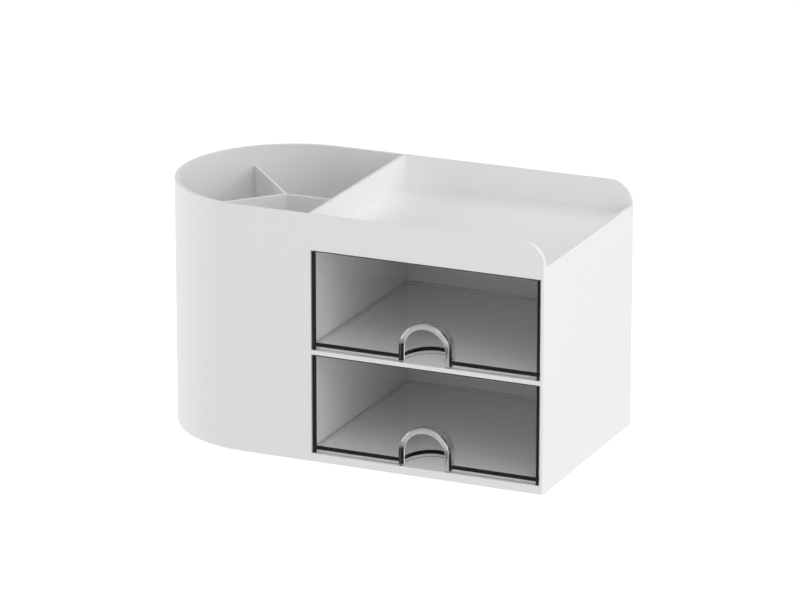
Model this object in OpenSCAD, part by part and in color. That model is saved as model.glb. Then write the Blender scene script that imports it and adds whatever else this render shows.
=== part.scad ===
// Desk organizer: pen cup with a drop-in divider, open tray and two clear drawers.
// Millimetres, +Z up, drawers open towards -Y, the round end points to -X.
// Origin: bottom centre of the whole object, on the surface that the feet stand on.

/* [Body] */
// Length of the body, from the round end to the flat side
body_l = 243; // [238:1:256]
// Depth of the body, and diameter of its round end
body_d = 130; // [124:1:136]
// Height of the rim above the shell's lower edge
rim_h = 141; // [140:1:146]
// Thickness of the shell's walls
wall = 2.2; // [2:0.1:2.6]
// Radius of the front and back walls' upper corners beside the tray
shoulder_r = 13.5; // [10:0.5:15]
// Radius of the shell's two vertical corners
corner_r = 1.2; // [0.6:0.1:1.8]

/* [Drawer bay] */
// Width of the space for the drawers
bay_w = 134.8; // [128:0.1:138]
// Height of the space for one drawer
bay_h = 56.9; // [54:0.1:57]
// Thickness of the shelf between the drawers
shelf_t = 2.4; // [2.3:0.1:3]
// Height of the sill in front of the base plate
sill_h = 4.7; // [4.5:0.1:5.2]
// Thickness of the tray's deck
deck_t = 2; // [1.8:0.1:2.4]
// Thickness of the wall between the pen cup and the drawers
partition_t = 2; // [1.8:0.1:2.4]

/* [Pen divider] */
// Thickness of the divider's vanes
vane_t = 1.4; // [1.2:0.1:2]
// Angle from the straight vane to each slanting vane
vane_angle = 132; // [120:1:140]
// Distance of the divider's top below the rim
divider_drop = 11; // [6:1:20]
// Distance of the vanes' junction from the centre of the round end
junction_shift = 3.5; // [0:0.5:8]

/* [Drawers] */
// Running gap between a drawer and the bay at each side
side_gap = 0.6; // [0.4:0.1:0.8]
// Running gap under a drawer's skirts
bottom_gap = 0.3; // [0.3:0.1:0.4]
// Gap between a drawer and the deck or shelf above it
top_gap = 0.8; // [0.5:0.1:1]
// Thickness of a drawer's side and back walls
drawer_wall = 2; // [1.6:0.1:2.2]
// Thickness of a drawer's front
front_t = 1.8; // [1.6:0.1:2.4]
// Distance of a drawer's front behind the shell's front face
front_recess = 0.4; // [0:0.1:0.8]
// Gap between a closed drawer and the shell's back wall
back_gap = 0.4; // [0.3:0.1:3]
// Height of the drawer's floor above the bay's floor
floor_z = 4.3; // [4.2:0.1:6]
// Thickness of the drawer's floor
floor_t = 2.3; // [1.6:0.1:2.4]

/* [Finger scoop] */
// Radius of the arched opening
arch_r = 12.2; // [11:0.1:14]
// Width of the rim round the opening
arch_rim = 3.2; // [2.6:0.1:5]
// Distance that the rim stands out from the drawer's front
rim_proud = 1.2; // [1:0.1:1.6]
// Height of the arch's centre above the bay's floor
arch_z = 7.9; // [6:0.1:9]
// Depth of the scoop behind the arch
scoop_depth = 18.6; // [14:0.2:22]
// Wall thickness of the scoop
scoop_wall = 1.8; // [1.4:0.1:2]

/* [Base and feet] */
// Thickness of the base plate
base_t = 2.2; // [2:0.1:2.4]
// Distance that the feet stand out below the shell's lower edge
foot_drop = 1; // [0.8:0.1:1.5]
// Radius of a foot
foot_r = 6; // [5:0.5:7]
// Thickness of a foot
foot_t = 2; // [1.8:0.1:2.2]

/* [Hidden] */
$fn = 96;

eps = 0.01;
over = 1;                  // how far a cutting solid runs past the face that it cuts
fit = 0.1;                 // gap between two pieces that are fitted together

shell_white = [0.93, 0.93, 0.94];
divider_white = [0.90, 0.90, 0.91];
clear_smoke = [0.55, 0.57, 0.58, 0.45];
foot_grey = [0.45, 0.45, 0.46];

// the scoop's rim stands out in front of the shell, and the whole object's box is centred on Y
front_proud = rim_proud - front_recess;
body_y = front_proud / 2;
shell_z = foot_drop;

cup_x = -body_l / 2 + body_d / 2;          // centre of the round end
half_d = body_d / 2;
bay_x1 = body_l / 2 - wall;
bay_x0 = bay_x1 - bay_w;
partition_x0 = bay_x0 - partition_t;
shelf_z = sill_h + bay_h;
deck_z = shelf_z + shelf_t + bay_h;
inner_corner_r = 0.6;

// shelf's tongues, which sit in grooves in the partition and in the side wall
tongue_out = 0.8;
tongue_t = 1.3;
tongue_setback = 14;
groove_deep = 1;

// base plate's flange, ribs, foot bosses and snap beads
base_lift = 0.4;
flange_t = 1.6;
rib_t = 1.4;
boss_wall = 1.6;
bead_w = 12;
bead_h = 0.9;
bead_z = 1.1;
bead_out = 0.6;
pocket_deep = 0.7;
pocket_gap = 0.2;
bead_arc_angle = 38;
bead_side_y = 36;
bead_x = [-46, 30, 104];
cup_foot = [-95, 38];
bay_foot = [107, 50];
foot_chamfer = 0.5;
foot_seat = 1;             // how far a foot sits up inside its boss

drawer_w = bay_w - 2 * side_gap;
drawer_len = body_d - wall - front_recess - back_gap;
drawer_h = bay_h - top_gap - bottom_gap;
front_lift = 0.3;          // the front's lower edge clears the bay's floor by this much more
scoop_y = 1;               // the scoop widens behind the arch's lip at this depth
arc_steps = 24;

divider_gap = 0.4;

// D-shaped outline of the body, moved inwards by inset, with small corners of radius c
module body_outline(inset, c) {
    r = half_d - inset;
    flat_x = body_l / 2 - inset;
    translate([cup_x, 0]) circle(r = r, $fn = 180);
    translate([cup_x, -r]) square([flat_x - c - cup_x, 2 * r]);
    translate([cup_x, c - r]) square([flat_x - cup_x, 2 * (r - c)]);
    for (side = [-1, 1])
        translate([flat_x - c, side * (r - c)]) circle(r = c);
}

// front view of the body, with the rounded upper corner, run through from front to back
module shoulder_block() {
    translate([0, half_d + over, 0])
        rotate([90, 0, 0])
            linear_extrude(body_d + 2 * over) {
                translate([-body_l / 2 - over, 0])
                    square([body_l + over - shoulder_r, rim_h]);
                square([body_l / 2, rim_h - shoulder_r]);
                translate([body_l / 2 - shoulder_r, rim_h - shoulder_r])
                    circle(r = shoulder_r);
            }
}

module cup_hollow() {
    intersection() {
        translate([0, 0, -over])
            linear_extrude(rim_h + 2 * over) body_outline(wall, inner_corner_r);
        translate([-body_l, -body_d, -over])
            cube([body_l + partition_x0, 2 * body_d, rim_h + 2 * over]);
    }
}

module bay_hollow() {
    translate([bay_x0, -half_d - over, sill_h])
        cube([bay_w, body_d + over - wall, deck_z - sill_h]);
}

module tray_hollow() {
    deck_top = deck_z + deck_t;
    translate([bay_x0, wall - half_d, deck_top])
        cube([bay_w, body_d - 2 * wall, rim_h - deck_top + over]);
    translate([bay_x1 - eps, wall - half_d, rim_h - shoulder_r])
        cube([wall + over, body_d - 2 * wall, shoulder_r + over]);
}

module shelf_grooves() {
    translate([bay_x0 - groove_deep, tongue_setback - half_d - fit, shelf_z + shelf_t / 2 - tongue_t / 2 - fit])
        cube([bay_w + 2 * groove_deep, body_d - tongue_setback - wall, tongue_t + 2 * fit]);
}

// places one child at each snap point of the base, at height 0, facing outwards along +X
module at_snap_points() {
    r = half_d - wall;
    for (x = bead_x)
        for (side = [-1, 1])
            translate([x, side * r, 0]) rotate(side * 90) children();
    for (side = [-1, 1]) {
        translate([bay_x1, side * bead_side_y, 0]) children();
        translate([cup_x, 0, 0]) rotate(180 + side * bead_arc_angle) translate([r, 0, 0]) children();
    }
}

module snap_pocket() {
    translate([-over, -bead_w / 2 - pocket_gap, bead_z - pocket_gap])
        cube([over + pocket_deep, bead_w + 2 * pocket_gap, bead_h + 2 * pocket_gap]);
}

module snap_bead() {
    translate([-over, -bead_w / 2, bead_z])
        cube([over + bead_out - fit, bead_w, bead_h]);
}

module outer_shell() {
    color(shell_white)
        translate([0, body_y, shell_z])
            difference() {
                intersection() {
                    linear_extrude(rim_h) body_outline(0, corner_r);
                    shoulder_block();
                }
                translate([0, 0, -over])
                    linear_extrude(sill_h + over) body_outline(wall, inner_corner_r);
                cup_hollow();
                bay_hollow();
                tray_hollow();
                shelf_grooves();
                at_snap_points() snap_pocket();
            }
}

module middle_shelf() {
    color(shell_white)
        translate([0, body_y, shell_z]) {
            translate([bay_x0 + fit, -half_d, shelf_z])
                cube([bay_w - 2 * fit, body_d - wall - fit, shelf_t]);
            translate([bay_x0 - tongue_out, tongue_setback - half_d, shelf_z + (shelf_t - tongue_t) / 2])
                cube([bay_w + 2 * tongue_out, body_d - tongue_setback - wall - 2 * fit, tongue_t]);
        }
}

// centre of foot i: 0 and 1 are at the front and 2 and 3 at the back, each time left and then right
function foot_spot(i) =
    let (side = i < 2 ? -1 : 1, spot = i % 2 == 0 ? cup_foot : bay_foot)
    [spot[0], side * spot[1]];

module base_ribs() {
    rib_h = sill_h - base_t - base_lift;
    reach = half_d - wall - flange_t / 2;
    for (side = [-1, 1])
        translate([cup_x - half_d / 2, side * body_d / 6 - rib_t / 2, base_lift])
            cube([bay_x1 - flange_t / 2 - cup_x + half_d / 2, rib_t, rib_h + eps]);
    for (x = [cup_x, (cup_x + bay_x1) / 2])
        translate([x - rib_t / 2, -reach, base_lift])
            cube([rib_t, 2 * reach, rib_h + eps]);
}

module base_plate() {
    plate_z = sill_h - base_t;
    color(shell_white)
        translate([0, body_y, shell_z])
            difference() {
                union() {
                    translate([0, 0, plate_z])
                        linear_extrude(base_t) body_outline(wall + fit, inner_corner_r);
                    translate([0, 0, base_lift])
                        linear_extrude(plate_z - base_lift + eps)
                            difference() {
                                body_outline(wall + fit, inner_corner_r);
                                body_outline(wall + fit + flange_t, inner_corner_r);
                            }
                    base_ribs();
                    at_snap_points() snap_bead();
                    for (i = [0 : 3])
                        translate([foot_spot(i)[0], foot_spot(i)[1], base_lift])
                            cylinder(r = foot_r + boss_wall, h = plate_z - base_lift + eps);
                }
                for (i = [0 : 3])
                    translate([foot_spot(i)[0], foot_spot(i)[1], -over])
                        cylinder(r = foot_r + fit, h = over + foot_seat);
            }
}

module foot(i) {
    color(foot_grey)
        translate([foot_spot(i)[0], foot_spot(i)[1] + body_y, shell_z + foot_seat - foot_t]) {
            cylinder(r1 = foot_r - foot_chamfer, r2 = foot_r, h = foot_chamfer);
            translate([0, 0, foot_chamfer])
                cylinder(r = foot_r, h = foot_t - foot_chamfer);
        }
}

module pen_divider() {
    junction_x = cup_x - junction_shift;
    hub_r = vane_t;
    vane_long = body_d;
    color(divider_white)
        translate([0, body_y, shell_z + sill_h + divider_gap])
            linear_extrude(rim_h - divider_drop - sill_h - divider_gap)
                intersection() {
                    translate([junction_x, 0]) {
                        circle(r = hub_r);
                        for (turn = [-vane_angle, 0, vane_angle])
                            rotate(turn)
                                translate([0, -vane_t / 2])
                                    square([vane_long, vane_t]);
                    }
                    body_outline(wall + divider_gap, inner_corner_r);
                    translate([-body_l, -body_d])
                        square([body_l + partition_x0 - divider_gap, 2 * body_d]);
                }
}

// points of an ellipse's arc, from angle 0 to the given angle
function ellipse_arc(half_w, depth, angle, steps) =
    [for (i = [0 : steps]) [half_w * cos(angle * i / steps), depth * sin(angle * i / steps)]];

// scoop's solid form: a half dome above arch_z, with straight walls from low_z up to it
module scoop_form(half_w, depth, low_z) {
    translate([0, 0, arch_z])
        rotate([90, 0, 180])
            rotate_extrude(angle = 180)
                polygon(concat([[0, 0]], ellipse_arc(half_w, depth, 90, arc_steps)));
    translate([0, 0, low_z])
        linear_extrude(arch_z - low_z)
            polygon(ellipse_arc(half_w, depth, 180, 2 * arc_steps));
}

// arch seen from the front, with its legs down to low_z, from y0 to y1
module arch_block(r, low_z, y0, y1) {
    translate([0, y1, 0])
        rotate([90, 0, 0])
            linear_extrude(y1 - y0) {
                translate([-r, low_z]) square([2 * r, arch_z - low_z]);
                intersection() {
                    translate([0, arch_z]) circle(r = r);
                    translate([-2 * r, arch_z]) square([4 * r, 2 * r]);
                }
            }
}

// box with the floor raised between two skirts, in the drawer's own frame:
// x = 0 at its centre line, y = 0 at its front face and z = 0 at the bay's floor
module drawer_tub() {
    inner_w = drawer_w - 2 * drawer_wall;
    inner_len = drawer_len - front_t - drawer_wall;
    difference() {
        translate([-drawer_w / 2, 0, bottom_gap])
            cube([drawer_w, drawer_len, drawer_h]);
        translate([-inner_w / 2, front_t, floor_z])
            cube([inner_w, inner_len, bay_h]);
        translate([-inner_w / 2, front_t, -over])
            cube([inner_w, inner_len, floor_z - floor_t + over]);
        translate([-inner_w / 2, -over, -over])
            cube([inner_w, drawer_len + 2 * over, bottom_gap + front_lift + over]);
    }
}

module drawer(bay_floor_z) {
    rim_r = arch_r + arch_rim;
    scoop_w = rim_r - scoop_wall;
    rim_z = bottom_gap + front_lift;
    color(clear_smoke)
        translate([(bay_x0 + bay_x1) / 2, body_y - half_d + front_recess, shell_z + bay_floor_z])
            difference() {
                union() {
                    drawer_tub();
                    arch_block(rim_r, rim_z, -rim_proud, scoop_y);
                    translate([0, scoop_y, 0])
                        scoop_form(rim_r, scoop_depth + scoop_wall, rim_z);
                }
                arch_block(arch_r, -over, -rim_proud - over, front_t);
                translate([0, scoop_y, 0])
                    scoop_form(scoop_w, scoop_depth, -over);
            }
}

module upper_drawer() {
    drawer(shelf_z + shelf_t);
}

module lower_drawer() {
    drawer(sill_h);
}

outer_shell();
middle_shelf();
base_plate();
pen_divider();
upper_drawer();
lower_drawer();
foot(0);  // foot_front_left
foot(1);  // foot_front_right
foot(2);  // foot_back_left
foot(3);  // foot_back_right
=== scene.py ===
"""Desk organizer: a white moulded body with a pen cup, a tray and two clear drawers.

The CAD frame gives every place. Lengths below are in millimetres in the row frame; each mesh
is turned into metres as it is made.
"""

import math

import bmesh
import bpy
from mathutils import Matrix, Vector


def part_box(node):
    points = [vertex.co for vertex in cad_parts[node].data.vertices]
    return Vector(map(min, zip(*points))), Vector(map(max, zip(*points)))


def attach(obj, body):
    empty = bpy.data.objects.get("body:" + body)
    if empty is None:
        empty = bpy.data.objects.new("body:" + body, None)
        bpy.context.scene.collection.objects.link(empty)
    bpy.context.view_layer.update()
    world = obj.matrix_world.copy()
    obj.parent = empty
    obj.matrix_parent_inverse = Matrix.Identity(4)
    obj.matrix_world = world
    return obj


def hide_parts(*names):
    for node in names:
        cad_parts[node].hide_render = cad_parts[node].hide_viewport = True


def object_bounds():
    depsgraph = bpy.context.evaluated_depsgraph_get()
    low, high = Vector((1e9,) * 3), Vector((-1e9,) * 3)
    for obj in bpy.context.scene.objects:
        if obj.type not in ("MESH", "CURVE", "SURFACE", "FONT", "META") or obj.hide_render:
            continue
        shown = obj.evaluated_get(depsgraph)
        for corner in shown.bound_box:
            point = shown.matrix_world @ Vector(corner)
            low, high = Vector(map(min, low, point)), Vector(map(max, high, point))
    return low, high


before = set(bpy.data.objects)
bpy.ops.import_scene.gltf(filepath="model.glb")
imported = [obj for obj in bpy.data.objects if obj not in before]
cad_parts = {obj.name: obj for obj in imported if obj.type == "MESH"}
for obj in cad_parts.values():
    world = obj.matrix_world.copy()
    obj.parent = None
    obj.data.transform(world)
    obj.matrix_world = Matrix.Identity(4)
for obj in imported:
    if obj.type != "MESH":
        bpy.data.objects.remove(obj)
cad_box = [list(corner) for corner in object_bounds()]

MM = 0.001


def node_box(node):
    """Lowest and highest corner of a CAD node, in millimetres."""
    low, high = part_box(node)
    return low / MM, high / MM


# ---------------------------------------------------------------- sizes, in millimetres

SHELL_LOW, SHELL_HIGH = node_box("outer_shell")
SHELF_LOW, SHELF_HIGH = node_box("middle_shelf")
PLATE_LOW, PLATE_HIGH = node_box("base_plate")
DIVIDER_LOW, DIVIDER_HIGH = node_box("pen_divider")

MID_Y = (SHELL_LOW.y + SHELL_HIGH.y) / 2      # the body's own centre line
HALF_D = (SHELL_HIGH.y - SHELL_LOW.y) / 2
FLAT_X = SHELL_HIGH.x                         # outside of the flat end
STRAIGHT_L = 178.0                            # of the two straight side walls
NOMINAL_HALF_D = 65.0
ROUND_X = FLAT_X - STRAIGHT_L - (HALF_D - NOMINAL_HALF_D)     # centre of the round end
SHELL_Z = SHELL_LOW.z                         # the shell's lower edge
RIM_Z = SHELL_HIGH.z
WALL = 2.2
SHOULDER_R = 13.5                             # where the rim turns down to the low flat end
CORNER_R = 1.2                                # the body's upright corners, outside and inside
INNER_CORNER_R = 0.6
ARC_STEPS = 128                               # steps round the half circle of the round end
SHOULDER_STEPS = 24
CIRCLE_STEPS = 64                             # steps round a foot or its boss
ROUND_STEPS = 8                               # steps of a small round or fillet

TONGUE = 0.8                                  # how far the shelf's tongues stand out sideways
TONGUE_T = 1.3
TONGUE_SETBACK = 14.0
GROOVE = 1.0                                  # depth of the grooves for the tongues
SLACK = 0.1                                   # play of a sliding or pressed fit
FIT = 0.05                                    # gap round the shelf and the base plate
SHELL_EDGE = 0.4                              # widths of the rounded edges of the mouldings
SHELF_EDGE = 0.3
BASE_EDGE = 0.2
DIVIDER_EDGE = 0.35
DRAWER_EDGE = 0.3
PARTITION_T = 2.0
DECK_T = 2.0
BAY_X1 = FLAT_X - WALL
BAY_X0 = SHELF_LOW.x + TONGUE
PARTITION_X0 = BAY_X0 - PARTITION_T
BAY_FLOOR = PLATE_HIGH.z                      # floor of the lower bay
DECK_LOW = SHELF_HIGH.z + (SHELF_LOW.z - BAY_FLOOR)
DECK_HIGH = DECK_LOW + DECK_T
OVER = 1.0                                    # how far a cutting tool runs past a face

FLANGE_T = 1.6
PLATE_T = 2.2
RIB_T = 1.4
BOSS_WALL = 1.6
JOIN = 0.3                                    # how far ribs and bosses run up into the plate
SNAP_W = 12.0                                 # snap beads of the base plate, and their pockets
SNAP_H = 0.9
SNAP_LIFT = 1.1
SNAP_OUT = 0.5
POCKET_OUT = 0.7
POCKET_GAP = 0.2
SNAP_ARC_ANGLE = 38.0
SNAP_SIDE_Y = 36.0
SNAP_X = (-46.0, 30.0, 104.0)
FOOT_ROUND = 0.6                              # a foot's lower edge, its chamfer on top and its
FOOT_CHAMFER = 0.15                           # dished face, whose radii are parts of the foot's
FOOT_DISH = 0.12
FOOT_DISH_R = 0.55
FOOT_RING_R = 0.68

VANE_T = 1.4
VANE_ANGLE = 132.0
JUNCTION_X = ROUND_X - 3.5
VANE_FILLET = 1.2
DIVIDER_GAP = 0.4

DRAWER_WALL = 2.0
FRONT_T = 1.8
FLOOR_LIFT = 4.3                              # drawer floor's upper face above the bay's floor
FLOOR_T = 2.3
FRONT_LIFT = 0.6                              # front's lower edge above the bay's floor
ARCH_R = 12.2
ARCH_RIM = 3.2
RIM_PROUD = 1.2
BEAD_ROUND = 1.5                              # radius of the bead's two front edges
LIP_ROUND = 0.4                               # radius of the lip's inner back edge
ARCH_LIFT = 7.9                               # arch's centre above the bay's floor
SCOOP_Y = 1.0                                 # the scoop widens this far behind the drawer's front
LIP_BACK = 1.3                                # back of the arch's lip, behind the drawer's front
SCOOP_DEPTH = 18.6
SCOOP_WALL = 1.8
DOME_STEPS = 48
RIM_STEPS = 64
CROWN_LIFT = 3.0                              # start of the bead's crown above the arch's centre
PAINTED_HIGHLIGHT_LOW = 0.18                          # where the painted highlight on the bead's crown starts and is full, as a part of the drawer's height; next, how white it paints the plastic
PAINTED_HIGHLIGHT_HIGH = 0.28                         # as a part of the drawer's height
PAINTED_HIGHLIGHT_WHITE = 0.45
COAT_IOR = 2.2                                # of the polish over the bead's painted highlight
CLEAR_IOR = 1.49
WHITE_IOR = 1.5
SMOKE = 9.0                                   # density of the drawers' tint, per metre


# ---------------------------------------------------------------- mesh tools

def make_object(name, bm):
    """Turns a bmesh in millimetres into an object in metres."""
    bmesh.ops.recalc_face_normals(bm, faces=bm.faces)
    bmesh.ops.scale(bm, vec=(MM, MM, MM), verts=bm.verts)
    mesh = bpy.data.meshes.new(name)
    bm.to_mesh(mesh)
    bm.free()
    obj = bpy.data.objects.new(name, mesh)
    bpy.context.scene.collection.objects.link(obj)
    return obj


def prism(name, outline, low, high, plane="XY"):
    """Solid between low and high over a closed outline; plane XZ runs it along Y instead."""
    bm = bmesh.new()

    def corner(point, height):
        if plane == "XY":
            return bm.verts.new((point[0], point[1], height))
        return bm.verts.new((point[0], height, point[1]))

    bottom = [corner(p, low) for p in outline]
    top = [corner(p, high) for p in outline]
    bm.faces.new(bottom)
    bm.faces.new(top)
    count = len(outline)
    for i in range(count):
        j = (i + 1) % count
        bm.faces.new((bottom[i], bottom[j], top[j], top[i]))
    return make_object(name, bm)


def block(name, low, high):
    """Box between two corners, used as a stage in building a piece."""
    outline = [(low[0], low[1]), (high[0], low[1]), (high[0], high[1]), (low[0], high[1])]
    return prism(name, outline, low[2], high[2])


def arc(centre, radius, start, end, steps):
    """Points along an arc, angles in degrees."""
    points = []
    for i in range(steps + 1):
        a = math.radians(start + (end - start) * i / steps)
        points.append((centre[0] + radius * math.cos(a), centre[1] + radius * math.sin(a)))
    return points


def boolean(target, tool, operation):
    """Joins or cuts target with tool, and removes the tool."""
    modifier = target.modifiers.new("csg", "BOOLEAN")
    modifier.operation = operation
    modifier.solver = "EXACT"
    modifier.object = tool
    apply_modifiers(target)
    bpy.data.objects.remove(tool)


def cut(target, *tools):
    for tool in tools:
        boolean(target, tool, "DIFFERENCE")


def fuse(target, *tools):
    for tool in tools:
        boolean(target, tool, "UNION")


def apply_modifiers(obj):
    """Replaces the object's mesh with what its modifiers give."""
    graph = bpy.context.evaluated_depsgraph_get()
    mesh = bpy.data.meshes.new_from_object(obj.evaluated_get(graph))
    old = obj.data
    obj.modifiers.clear()
    obj.data = mesh
    bpy.data.meshes.remove(old)
    mesh.name = obj.name


def tidy_mesh(obj, angle=0.2):
    """Merges flat neighbours into single faces, so that edges can be rounded cleanly."""
    bm = bmesh.new()
    bm.from_mesh(obj.data)
    bmesh.ops.remove_doubles(bm, verts=bm.verts, dist=0.002 * MM)
    bmesh.ops.dissolve_limit(
        bm, angle_limit=math.radians(angle), use_dissolve_boundaries=False,
        verts=bm.verts, edges=bm.edges,
    )
    bm.to_mesh(obj.data)
    bm.free()


def soften(obj, width, segments=3, sharp=35.0, where=None):
    """Rounds the sharp edges whose middle passes the test, then evens out the normals."""
    mesh = obj.data
    bm = bmesh.new()
    bm.from_mesh(mesh)
    layer = bm.edges.layers.float.new("bevel_weight_edge")
    for edge in bm.edges:
        if len(edge.link_faces) != 2:
            continue
        if math.degrees(edge.calc_face_angle(0.0)) < sharp:
            continue
        middle = (edge.verts[0].co + edge.verts[1].co) / 2 / MM
        edge[layer] = 1.0 if where is None or where(middle) else 0.0
    bm.to_mesh(mesh)
    bm.free()
    bevel = obj.modifiers.new("round", "BEVEL")
    bevel.limit_method = "WEIGHT"
    bevel.width = width * MM
    bevel.segments = segments
    bevel.use_clamp_overlap = True
    bevel.miter_outer = "MITER_ARC"
    apply_modifiers(obj)
    for polygon in obj.data.polygons:
        polygon.use_smooth = True
    obj.data.set_sharp_from_angle(angle=math.radians(50))
    weighted = obj.modifiers.new("normals", "WEIGHTED_NORMAL")
    weighted.mode = "FACE_AREA"
    weighted.keep_sharp = True
    apply_modifiers(obj)


# ---------------------------------------------------------------- outlines

def circle(centre, radius):
    """Closed circle, without its first point again at the end."""
    last = 360 - 360 / CIRCLE_STEPS
    return arc((centre.x, centre.y), radius, 0, last, CIRCLE_STEPS - 1)


def body_outline(inset, corner):
    """D-shaped outline of the body, moved inwards by inset, seen from above."""
    radius = HALF_D - inset
    flat = FLAT_X - inset
    points = arc((ROUND_X, MID_Y), radius, 90, 270, ARC_STEPS)
    points += arc((flat - corner, MID_Y - radius + corner), corner, -90, 0, ROUND_STEPS)
    points += arc((flat - corner, MID_Y + radius - corner), corner, 0, 90, ROUND_STEPS)
    return points


def cup_outline(inset):
    """Inside outline of the pen cup, moved inwards from the shell's outer face by inset."""
    radius = HALF_D - inset
    points = arc((ROUND_X, MID_Y), radius, 90, 270, ARC_STEPS)
    points += [(PARTITION_X0, MID_Y - radius), (PARTITION_X0, MID_Y + radius)]
    return points


def snap_points():
    """Place and outward angle of each snap bead round the base."""
    radius = HALF_D - WALL
    spots = [(x, MID_Y + side * radius, side * 90) for x in SNAP_X for side in (-1, 1)]
    for side in (-1, 1):
        spots.append((BAY_X1, MID_Y + side * SNAP_SIDE_Y, 0))
        angle = 180 + side * SNAP_ARC_ANGLE
        a = math.radians(angle)
        spots.append((ROUND_X + radius * math.cos(a), MID_Y + radius * math.sin(a), angle))
    return spots


def snap_block(spot, half_w, low, high, out):
    """Small box at a snap point, standing out of the wall by out."""
    obj = block("snap", (-OVER, -half_w, low), (out, half_w, high))
    place = Matrix.Translation(Vector((spot[0], spot[1], 0)) * MM)
    obj.data.transform(place @ Matrix.Rotation(math.radians(spot[2]), 4, "Z"))
    return obj


# ---------------------------------------------------------------- white body

def build_shell():
    """Shell moulding: the wall, the pen cup, the bays, the deck and the low flat end."""
    shell = prism("shell_moulding", body_outline(0, CORNER_R), SHELL_Z, RIM_Z)
    top_x = FLAT_X - SHOULDER_R
    side_z = RIM_Z - SHOULDER_R
    profile = [(SHELL_LOW.x - OVER, SHELL_Z - OVER), (FLAT_X + OVER, SHELL_Z - OVER)]
    profile += [(FLAT_X + OVER, side_z)]
    profile += arc((top_x, side_z), SHOULDER_R, 0, 90, SHOULDER_STEPS)
    profile += [(SHELL_LOW.x - OVER, RIM_Z)]
    keep = prism("keep", profile, SHELL_LOW.y - OVER, SHELL_HIGH.y + OVER, "XZ")
    boolean(shell, keep, "INTERSECT")

    inner_y0 = SHELL_LOW.y + WALL
    inner_y1 = SHELL_HIGH.y - WALL
    cut(
        shell,
        prism("base_space", body_outline(WALL, INNER_CORNER_R), SHELL_Z - OVER, BAY_FLOOR),
        prism("cup", cup_outline(WALL), SHELL_Z - OVER, RIM_Z + OVER),
        block("bay", (BAY_X0, SHELL_LOW.y - OVER, BAY_FLOOR), (BAY_X1, inner_y1, DECK_LOW)),
        block("tray", (BAY_X0, inner_y0, DECK_HIGH), (BAY_X1, inner_y1, RIM_Z + OVER)),
        block(
            "low_side",
            (BAY_X1 - OVER, inner_y0, side_z), (FLAT_X + OVER, inner_y1, RIM_Z + OVER),
        ),
    )
    shelf_mid = (SHELF_LOW.z + SHELF_HIGH.z) / 2
    half_groove = TONGUE_T / 2 + SLACK
    cut(shell, block(
        "groove",
        (BAY_X0 - GROOVE, SHELL_LOW.y + TONGUE_SETBACK - SLACK, shelf_mid - half_groove),
        (BAY_X1 + GROOVE, inner_y1 - SLACK, shelf_mid + half_groove),
    ))
    for spot in snap_points():
        low = SHELL_Z + SNAP_LIFT - POCKET_GAP
        high = SHELL_Z + SNAP_LIFT + SNAP_H + POCKET_GAP
        cut(shell, snap_block(spot, SNAP_W / 2 + POCKET_GAP, low, high, POCKET_OUT))
    tidy_mesh(shell)
    soften(shell, SHELL_EDGE)
    return shell


def build_shelf():
    """Shelf between the drawers, with a tongue along both of its ends."""
    back = SHELL_HIGH.y - WALL - FIT
    shelf = block(
        "shelf_moulding",
        (BAY_X0 + FIT, SHELL_LOW.y, SHELF_LOW.z),
        (BAY_X1 - FIT, back, SHELF_HIGH.z),
    )
    middle = (SHELF_LOW.z + SHELF_HIGH.z) / 2
    fuse(shelf, block(
        "tongue",
        (BAY_X0 - TONGUE, SHELL_LOW.y + TONGUE_SETBACK, middle - TONGUE_T / 2),
        (BAY_X1 + TONGUE, back - SLACK, middle + TONGUE_T / 2),
    ))
    tidy_mesh(shelf)
    soften(shelf, SHELF_EDGE)
    return shelf


def foot_spots():
    """Name, centre, radius, lowest and highest point of each foot."""
    spots = []
    for node in ("foot_front_left", "foot_front_right", "foot_back_left", "foot_back_right"):
        low, high = node_box(node)
        spots.append((node, (low + high) / 2, (high.x - low.x) / 2, low.z, high.z))
    return spots


def build_base():
    """Base plate with its flange, crossed ribs, foot bosses and snap beads."""
    gap = WALL + FIT
    plate_low = PLATE_HIGH.z - PLATE_T
    base = prism("base_moulding", body_outline(gap, INNER_CORNER_R), PLATE_LOW.z, PLATE_HIGH.z)
    cut(base, prism(
        "under", body_outline(gap + FLANGE_T, INNER_CORNER_R), PLATE_LOW.z - OVER, plate_low,
    ))
    reach = HALF_D - WALL - FLANGE_T / 2
    for side in (-1, 1):
        y = MID_Y + side * HALF_D / 3
        fuse(base, block(
            "rib",
            (ROUND_X - HALF_D / 2, y - RIB_T / 2, PLATE_LOW.z),
            (BAY_X1 - FLANGE_T / 2, y + RIB_T / 2, plate_low + JOIN),
        ))
    for x in (ROUND_X, (ROUND_X + BAY_X1) / 2):
        fuse(base, block(
            "rib",
            (x - RIB_T / 2, MID_Y - reach, PLATE_LOW.z),
            (x + RIB_T / 2, MID_Y + reach, plate_low + JOIN),
        ))
    for _, centre, radius, _, high in foot_spots():
        ring = circle(centre, radius + BOSS_WALL)
        fuse(base, prism("boss", ring, PLATE_LOW.z, plate_low + JOIN))
        hole = circle(centre, radius + SLACK)
        cut(base, prism("seat", hole, PLATE_LOW.z - OVER, high))
    for spot in snap_points():
        low = SHELL_Z + SNAP_LIFT
        fuse(base, snap_block(spot, SNAP_W / 2, low, low + SNAP_H, SNAP_OUT))
    tidy_mesh(base)
    soften(base, BASE_EDGE, segments=2)
    return base


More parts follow.
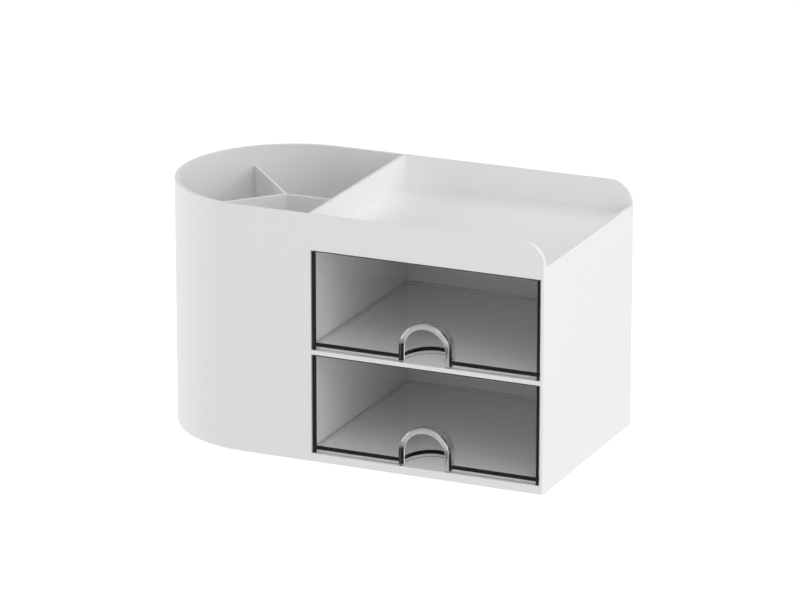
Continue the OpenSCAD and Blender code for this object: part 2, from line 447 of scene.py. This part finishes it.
def build_foot(node, centre, radius, low, high):
    """Rubber pad: a lathed disc with a rounded lower edge and a shallow dished face."""
    dish = low + FOOT_DISH
    profile = [(0.0, dish), (radius * FOOT_DISH_R, dish), (radius * FOOT_RING_R, low)]
    profile += arc((radius - FOOT_ROUND, low + FOOT_ROUND), FOOT_ROUND, -90, 0, 6)
    profile += [(radius, high - FOOT_CHAMFER), (radius - FOOT_CHAMFER, high), (0.0, high)]
    obj = lathe(node + "_pad", profile, CIRCLE_STEPS)
    obj.data.transform(Matrix.Translation(Vector((centre.x, centre.y, 0)) * MM))
    for polygon in obj.data.polygons:
        polygon.use_smooth = True
    obj.data.set_sharp_from_angle(angle=math.radians(40))
    return obj


def lathe(name, profile, steps):
    """Turns an (r, z) profile round the Z axis."""
    bm = bmesh.new()
    verts = [bm.verts.new((r, 0, z)) for r, z in profile]
    edges = [bm.edges.new((verts[i], verts[i + 1])) for i in range(len(verts) - 1)]
    bmesh.ops.spin(
        bm, geom=verts + edges, cent=(0, 0, 0), axis=(0, 0, 1),
        angle=math.tau, steps=steps, use_duplicate=False,
    )
    bmesh.ops.remove_doubles(bm, verts=bm.verts, dist=1e-4)
    return make_object(name, bm)


# ---------------------------------------------------------------- pen divider

def vane_reach(turn):
    """Length of a vane from the junction, along its angle."""
    a = math.radians(turn)
    direction = Vector((math.cos(a), math.sin(a)))
    if abs(turn) < 1:
        return PARTITION_X0 - DIVIDER_GAP - JUNCTION_X
    start = Vector((JUNCTION_X - ROUND_X, 0))
    radius = HALF_D - WALL - DIVIDER_GAP
    b = start.dot(direction)
    return -b + math.sqrt(b * b - start.length_squared + radius * radius) - SLACK


def divider_outline():
    """Y-shaped outline with a small fillet in each corner of the junction."""
    turns = [-VANE_ANGLE, 0.0, VANE_ANGLE]
    points = []
    for i, turn in enumerate(turns):
        a = math.radians(turn)
        along = Vector((math.cos(a), math.sin(a)))
        across = Vector((-math.sin(a), math.cos(a)))
        length = vane_reach(turn)
        for side in (-1, 1):
            points.append(along * length + across * side * VANE_T / 2)
        following = turns[(i + 1) % 3] + (360 if i == 2 else 0)
        half = math.radians((following - turn) / 2)
        middle = a + half
        # centre of the fillet lies on the bisector of the corner
        reach = (VANE_T / 2 + VANE_FILLET) / math.sin(half)
        centre = Vector((math.cos(middle), math.sin(middle))) * reach
        start = turn - 90
        end = following + 90 - 360
        for k in range(ROUND_STEPS + 1):
            angle = math.radians(start + (end - start) * k / ROUND_STEPS)
            points.append(centre + Vector((math.cos(angle), math.sin(angle))) * VANE_FILLET)
    return [(JUNCTION_X + p.x, MID_Y + p.y) for p in points]


def build_divider():
    divider = prism("divider_moulding", divider_outline(), DIVIDER_LOW.z, DIVIDER_HIGH.z)
    soften(divider, DIVIDER_EDGE, sharp=60.0)
    return divider


# ---------------------------------------------------------------- clear drawers

def arch_points(radius, low, centre_x, centre_z):
    """Arch seen from the front: a half circle on two straight legs."""
    points = [(centre_x + radius, low)]
    points += arc((centre_x, centre_z), radius, 0, 180, DOME_STEPS)
    points += [(centre_x - radius, low)]
    return points


def scoop_form(name, half_w, depth, low, centre):
    """Half a dome above the arch's centre, with straight walls from there down to low."""
    bm = bmesh.new()
    x0, y0, z0 = centre
    rings = []
    for i in range(DOME_STEPS + 1):
        a = math.pi / 2 * i / DOME_STEPS
        radius = half_w * math.cos(a)
        y = y0 + depth * math.sin(a)
        ring = [(x0 + radius, y, low)]
        for k in range(DOME_STEPS + 1):
            turn = math.pi * k / DOME_STEPS
            ring.append((x0 + radius * math.cos(turn), y, z0 + radius * math.sin(turn)))
        ring.append((x0 - radius, y, low))
        rings.append([bm.verts.new(p) for p in ring])
    count = len(rings[0])
    for near, far in zip(rings, rings[1:]):
        for k in range(count - 1):
            bm.faces.new((near[k], near[k + 1], far[k + 1], far[k]))
        bm.faces.new((near[-1], near[0], far[0], far[-1]))
    bm.faces.new(rings[0])
    bmesh.ops.remove_doubles(bm, verts=bm.verts, dist=1e-4)
    bmesh.ops.dissolve_degenerate(bm, edges=bm.edges, dist=1e-4)
    return make_object(name, bm)


def arch_rim(name, inner, outer, low, centre_x, centre_z, front, back):
    """Rounded bead swept round the arch and down both legs."""
    section = arc((outer - BEAD_ROUND, front + BEAD_ROUND), BEAD_ROUND, -90, 0, ROUND_STEPS)
    section += [(outer, back), (inner + LIP_ROUND, back)]
    section += arc((inner + LIP_ROUND, back - LIP_ROUND), LIP_ROUND, 90, 180, 3)[1:]
    section += arc((inner + BEAD_ROUND, front + BEAD_ROUND), BEAD_ROUND, 180, 270, ROUND_STEPS)
    bm = bmesh.new()
    rings = []
    stations = [("leg", 1, low)]
    stations += [("turn", math.pi * k / RIM_STEPS, 0) for k in range(RIM_STEPS + 1)]
    stations += [("leg", -1, low)]
    for kind, value, height in stations:
        ring = []
        for r, y in section:
            if kind == "leg":
                ring.append((centre_x + value * r, y, height))
            else:
                ring.append((centre_x + r * math.cos(value), y, centre_z + r * math.sin(value)))
        rings.append([bm.verts.new(p) for p in ring])
    count = len(section)
    for near, far in zip(rings, rings[1:]):
        for k in range(count):
            j = (k + 1) % count
            bm.faces.new((near[k], near[j], far[j], far[k]))
    bm.faces.new(rings[0])
    bm.faces.new(rings[-1])
    return make_object(name, bm)


def finish(point, middle):
    """Material slot at a point of a drawer: 0 on its polished front, its scoop and the arch's
    legs, 1 on its walls and floor, 2 on the crown of the bead round the arch.

    Middle is the arch's centre at the depth where the scoop widens.
    """
    proud, lip_start, lip_side, margin, share = -0.01, 0.05, 0.3, 0.1, 1.02
    front = middle[1] - SCOOP_Y
    reach = ARCH_R + ARCH_RIM + margin
    across = math.hypot(point.x - middle[0], max(point.z - middle[2], 0))
    behind = point.y - front
    if behind < proud or (lip_start < behind < LIP_BACK and across < ARCH_R + lip_side):
        return 2 if point.z > middle[2] + CROWN_LIFT else 0
    if behind < FRONT_T + margin:
        return 0
    along = (point.y - middle[1]) / (SCOOP_DEPTH + SCOOP_WALL + margin)
    return 0 if math.hypot(across / reach, along) < share else 1


def build_drawer(name, node, bay_floor):
    """Clear drawer: a tub on two skirts, with a domed finger scoop and a bead round its arch."""
    low, high = node_box(node)
    centre_x = (low.x + high.x) / 2
    front = low.y + RIM_PROUD
    arch_z = bay_floor + ARCH_LIFT
    outer_r = ARCH_R + ARCH_RIM
    inner_x0, inner_x1 = low.x + DRAWER_WALL, high.x - DRAWER_WALL
    inner_y0, inner_y1 = front + FRONT_T, high.y - DRAWER_WALL
    floor_top = bay_floor + FLOOR_LIFT
    floor_low = floor_top - FLOOR_T
    front_low = bay_floor + FRONT_LIFT

    tub = block(name, (low.x, front, low.z), (high.x, high.y, high.z))
    cut(
        tub,
        block("inside", (inner_x0, inner_y0, floor_top), (inner_x1, inner_y1, high.z + OVER)),
        block("under", (inner_x0, inner_y0, low.z - OVER), (inner_x1, inner_y1, floor_low)),
        block("lift", (inner_x0, front - OVER, low.z - OVER), (inner_x1, high.y + OVER, front_low)),
    )
    middle = (centre_x, front + SCOOP_Y, arch_z)
    fuse(tub, scoop_form("dome", outer_r, SCOOP_DEPTH + SCOOP_WALL, front_low + SLACK, middle))
    cut(
        tub,
        scoop_form("hollow", outer_r - SCOOP_WALL, SCOOP_DEPTH, low.z - OVER, middle),
        prism(
            "mouth", arch_points(outer_r - SCOOP_WALL, low.z - OVER, centre_x, arch_z),
            front - OVER, front + SCOOP_Y + FIT, "XZ",
        ),
    )
    fuse(tub, arch_rim(
        "rim", ARCH_R, outer_r, front_low - SLACK, centre_x, arch_z,
        low.y, front + LIP_BACK,
    ))
    tidy_mesh(tub, 0.05)
    clear_of_arch = outer_r + 1
    soften(tub, DRAWER_EDGE, where=lambda p: (
        abs(p.x - centre_x) > clear_of_arch or p.z > arch_z + clear_of_arch
    ))
    for polygon in tub.data.polygons:
        polygon.material_index = finish(polygon.center / MM, middle)
    return tub


# ---------------------------------------------------------------- materials

def new_material(name):
    """New node material, with its nodes, links and shader."""
    material = bpy.data.materials.new(name)
    material.use_nodes = True
    nodes = material.node_tree.nodes
    shader = nodes["Principled BSDF"]
    return material, nodes, material.node_tree.links, shader


def satin_white(name, colour, roughness):
    """Injection-moulded ABS: even white, a very fine spark texture and slight gloss changes."""
    material, nodes, links, shader = new_material(name)
    place = nodes.new("ShaderNodeTexCoord")
    grain = nodes.new("ShaderNodeTexNoise")
    grain.inputs["Scale"].default_value = 2600
    grain.inputs["Detail"].default_value = 2
    bump = nodes.new("ShaderNodeBump")
    bump.inputs["Strength"].default_value = 0.04
    bump.inputs["Distance"].default_value = 0.00005
    patch = nodes.new("ShaderNodeTexNoise")
    patch.inputs["Scale"].default_value = 14
    patch.inputs["Detail"].default_value = 3
    gloss = nodes.new("ShaderNodeMapRange")
    gloss.inputs["To Min"].default_value = roughness - 0.03
    gloss.inputs["To Max"].default_value = roughness + 0.04
    tint = nodes.new("ShaderNodeMix")
    tint.data_type = "RGBA"
    tint.inputs[6].default_value = (*[c * 0.99 for c in colour], 1)
    tint.inputs[7].default_value = (*colour, 1)
    links.new(place.outputs["Object"], grain.inputs["Vector"])
    links.new(place.outputs["Object"], patch.inputs["Vector"])
    links.new(grain.outputs["Fac"], bump.inputs["Height"])
    links.new(bump.outputs["Normal"], shader.inputs["Normal"])
    links.new(patch.outputs["Fac"], gloss.inputs["Value"])
    links.new(gloss.outputs["Result"], shader.inputs["Roughness"])
    links.new(patch.outputs["Fac"], tint.inputs[0])
    links.new(tint.outputs[2], shader.inputs["Base Color"])
    shader.inputs["IOR"].default_value = WHITE_IOR
    return material


def clear_plastic(name, roughness, mirror, painted_highlight=0.0):
    """Clear polystyrene with a smoke tint inside it and barely visible flow marks.

    Lamps and the light from white walls pass straight through it, so that what lies in a
    drawer is lit; what is seen through it is bent as by real plastic. Mirror scales its
    reflections. The last argument paints a highlight towards the top of the finger arch: there the
    plastic turns partly diffuse white, standing in for lamp light caught by the bead's crown, under
    a bright polish.
    """
    material, nodes, links, shader = new_material(name)
    place = nodes.new("ShaderNodeTexCoord")
    flow = nodes.new("ShaderNodeTexNoise")
    flow.inputs["Scale"].default_value = 20
    flow.inputs["Detail"].default_value = 2
    gloss = nodes.new("ShaderNodeMapRange")
    gloss.inputs["To Min"].default_value = roughness
    gloss.inputs["To Max"].default_value = roughness + 0.02
    links.new(place.outputs["Object"], flow.inputs["Vector"])
    links.new(flow.outputs["Fac"], gloss.inputs["Value"])
    links.new(gloss.outputs["Result"], shader.inputs["Roughness"])
    shader.inputs["Base Color"].default_value = (1, 1, 1, 1)
    shader.inputs["Transmission Weight"].default_value = 1.0
    # painted highlight: towards the top the plastic is turned partly diffuse white, in place of the
    # light the lamps above would catch on the bead's crown
    if painted_highlight:
        height = nodes.new("ShaderNodeSeparateXYZ")
        painted_highlight_ramp = nodes.new("ShaderNodeMapRange")
        painted_highlight_ramp.interpolation_type = "SMOOTHSTEP"
        painted_highlight_ramp.inputs["From Min"].default_value = PAINTED_HIGHLIGHT_LOW
        painted_highlight_ramp.inputs["From Max"].default_value = PAINTED_HIGHLIGHT_HIGH
        painted_highlight_ramp.inputs["To Min"].default_value = 1.0
        painted_highlight_ramp.inputs["To Max"].default_value = 1.0 - painted_highlight
        links.new(place.outputs["Generated"], height.inputs["Vector"])
        links.new(height.outputs["Z"], painted_highlight_ramp.inputs["Value"])
        links.new(painted_highlight_ramp.outputs["Result"], shader.inputs["Transmission Weight"])
        shader.inputs["Coat Weight"].default_value = 1.0
        shader.inputs["Coat IOR"].default_value = COAT_IOR
        shader.inputs["Coat Roughness"].default_value = 0.0
    shader.inputs["IOR"].default_value = CLEAR_IOR
    shader.inputs["Specular Tint"].default_value = (mirror, mirror, mirror, 1)
    smoke = nodes.new("ShaderNodeVolumeAbsorption")
    smoke.inputs["Color"].default_value = (0.5, 0.5, 0.5, 1)
    smoke.inputs["Density"].default_value = SMOKE
    clear = nodes.new("ShaderNodeBsdfTransparent")
    clear.inputs["Color"].default_value = (1, 1, 1, 1)
    path = nodes.new("ShaderNodeLightPath")
    surface = shader.outputs["BSDF"]
    for ray in ("Is Diffuse Ray", "Is Shadow Ray"):
        choose = nodes.new("ShaderNodeMixShader")
        links.new(path.outputs[ray], choose.inputs["Fac"])
        links.new(surface, choose.inputs[1])
        links.new(clear.outputs["BSDF"], choose.inputs[2])
        surface = choose.outputs["Shader"]
    links.new(surface, nodes["Material Output"].inputs["Surface"])
    links.new(smoke.outputs["Volume"], nodes["Material Output"].inputs["Volume"])
    return material


def foot_rubber(name):
    """Grey rubber with a fine matt grain."""
    material, nodes, links, shader = new_material(name)
    place = nodes.new("ShaderNodeTexCoord")
    grain = nodes.new("ShaderNodeTexNoise")
    grain.inputs["Scale"].default_value = 900
    grain.inputs["Detail"].default_value = 4
    bump = nodes.new("ShaderNodeBump")
    bump.inputs["Strength"].default_value = 0.25
    bump.inputs["Distance"].default_value = 0.0001
    ramp = nodes.new("ShaderNodeMapRange")
    ramp.inputs["To Min"].default_value = 0.72
    ramp.inputs["To Max"].default_value = 0.88
    tint = nodes.new("ShaderNodeMix")
    tint.data_type = "RGBA"
    tint.inputs[6].default_value = (0.16, 0.16, 0.165, 1)
    tint.inputs[7].default_value = (0.21, 0.21, 0.215, 1)
    links.new(place.outputs["Object"], grain.inputs["Vector"])
    links.new(grain.outputs["Fac"], bump.inputs["Height"])
    links.new(bump.outputs["Normal"], shader.inputs["Normal"])
    links.new(grain.outputs["Fac"], ramp.inputs["Value"])
    links.new(ramp.outputs["Result"], shader.inputs["Roughness"])
    links.new(grain.outputs["Fac"], tint.inputs[0])
    links.new(tint.outputs[2], shader.inputs["Base Color"])
    return material


# ---------------------------------------------------------------- assembly

def fit_piece(piece, body, node, slot, *materials):
    """Gives a piece its materials and puts it in the place of its CAD node."""
    chosen = [polygon.material_index for polygon in piece.data.polygons]
    piece.data.materials.clear()
    for material in materials:
        piece.data.materials.append(material)
    for polygon, index in zip(piece.data.polygons, chosen):
        polygon.material_index = index if index < len(materials) else 0
    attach(piece, body)
    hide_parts(node)


shell_white = satin_white("shell_white", (0.90, 0.90, 0.90), 0.36)
divider_white = satin_white("divider_white", (0.88, 0.88, 0.88), 0.38)
drawer_clear = clear_plastic("drawer_clear", 0.0, 0.6)
drawer_satin = clear_plastic("drawer_satin", 0.09, 1.0)
# the bead's crown gets the painted highlight, a white stand-in for lamp light
drawer_bead = clear_plastic("drawer_bead", 0.0, 1.0, PAINTED_HIGHLIGHT_WHITE)
pad_rubber = foot_rubber("pad_rubber")

fit_piece(build_shell(), "body", "outer_shell", "shell_plastic", shell_white)
fit_piece(build_shelf(), "body", "middle_shelf", "shell_plastic", shell_white)
fit_piece(build_base(), "body", "base_plate", "shell_plastic", shell_white)
fit_piece(build_divider(), "divider", "pen_divider", "divider_plastic", divider_white)
fit_piece(
    build_drawer("upper_drawer_tub", "upper_drawer", SHELF_HIGH.z),
    "top_drawer", "upper_drawer", "clear_plastic", drawer_clear, drawer_satin, drawer_bead,
)
fit_piece(
    build_drawer("lower_drawer_tub", "lower_drawer", BAY_FLOOR),
    "bottom_drawer", "lower_drawer", "clear_plastic", drawer_clear, drawer_satin, drawer_bead,
)
for foot in foot_spots():
    fit_piece(build_foot(*foot), "body", foot[0], "foot_rubber", pad_rubber)


# ---------------------------------------------------------------- stage, light and camera

FLOOR_GLOW = 0.69                             # light given off by the paper floor and the room
ROOM_GLOW = 0.396
PAPER_WHITE = 1.02                            # how bright both look to the camera
FLOOR_HALF = 6000                             # half the floor's width, in millimetres
SOFTBOX_SIZE = (1.5, 1.5)                     # in metres, as are all places below
SOFTBOX_AIM = (0, 0, 0.07)
SOFTBOXES = (                                 # name, place and power in watts
    ("softbox_right", (2.1, 0, 1.4), 5.4),
    ("softbox_left", (-2.4, 0, 0.5), 28.4),
    ("softbox_front", (2.2, -1.1, 0.5), 14.6),
    ("softbox_top", (0.9, -1.2, 2.0), 12.4),
    ("softbox_back", (0.9, 1.5, 1.5), 12.9),
)
CAMERA_AIM = (0.0056, 0.0078, 0.0043)         # aim, from the middle of the CAD box
CAMERA_AZIMUTH = 23.79                        # degrees from the front, towards the flat end
CAMERA_ELEVATION = 17.58
CAMERA_DISTANCE = 2.812
CAMERA_LENS = 228.2                           # millimetres


def seen_white(nodes, links, strength):
    """Emission strength that gives off the given light, but shows as white paper."""
    path = nodes.new("ShaderNodeLightPath")
    choose = nodes.new("ShaderNodeMapRange")
    choose.inputs["To Min"].default_value = strength
    choose.inputs["To Max"].default_value = PAPER_WHITE
    links.new(path.outputs["Is Camera Ray"], choose.inputs["Value"])
    return choose.outputs["Result"]


def make_floor():
    """White paper floor, wide enough to fill every view."""
    bm = bmesh.new()
    bmesh.ops.create_grid(bm, x_segments=8, y_segments=8, size=FLOOR_HALF)
    floor = make_object("floor", bm)
    material, nodes, links, shader = new_material("floor_white")
    shader.inputs["Base Color"].default_value = (0.1, 0.1, 0.1, 1)
    shader.inputs["Roughness"].default_value = 0.9
    shader.inputs["Emission Color"].default_value = (1, 1, 1, 1)
    links.new(seen_white(nodes, links, FLOOR_GLOW), shader.inputs["Emission Strength"])
    floor.data.materials.append(material)


def make_world():
    """Even white room light."""
    world = bpy.data.worlds.new("studio")
    world.use_nodes = True
    nodes, links = world.node_tree.nodes, world.node_tree.links
    background = nodes["Background"]
    background.inputs["Color"].default_value = (1, 1, 1, 1)
    links.new(seen_white(nodes, links, ROOM_GLOW), background.inputs["Strength"])
    bpy.context.scene.world = world


def area_light(name, place, aim, size, power):
    """Rectangular softbox that faces its aim."""
    data = bpy.data.lights.new(name, "AREA")
    data.shape = "RECTANGLE"
    data.size, data.size_y = size
    data.energy = power
    light = bpy.data.objects.new(name, data)
    light.location = place
    direction = Vector(aim) - Vector(place)
    light.rotation_euler = direction.to_track_quat("-Z", "Y").to_euler()
    bpy.context.scene.collection.objects.link(light)


def make_camera():
    """Camera with a long lens, seen from the front and a little above."""
    low, high = (Vector(corner) for corner in cad_box)
    aim = (low + high) / 2 + Vector(CAMERA_AIM)
    azimuth, elevation = math.radians(CAMERA_AZIMUTH), math.radians(CAMERA_ELEVATION)
    back = Vector((
        math.sin(azimuth) * math.cos(elevation),
        -math.cos(azimuth) * math.cos(elevation),
        math.sin(elevation),
    ))
    data = bpy.data.cameras.new("camera")
    data.sensor_width = 36
    data.lens = CAMERA_LENS
    data.clip_start, data.clip_end = 0.1, 50
    camera = bpy.data.objects.new("camera", data)
    camera.location = aim + back * CAMERA_DISTANCE
    camera.rotation_euler = (-back).to_track_quat("-Z", "Y").to_euler()
    bpy.context.scene.collection.objects.link(camera)
    bpy.context.scene.camera = camera


make_floor()
make_world()
for softbox, spot, watts in SOFTBOXES:
    area_light(softbox, spot, SOFTBOX_AIM, SOFTBOX_SIZE, watts)
make_camera()
bpy.context.scene.view_settings.view_transform = "Standard"
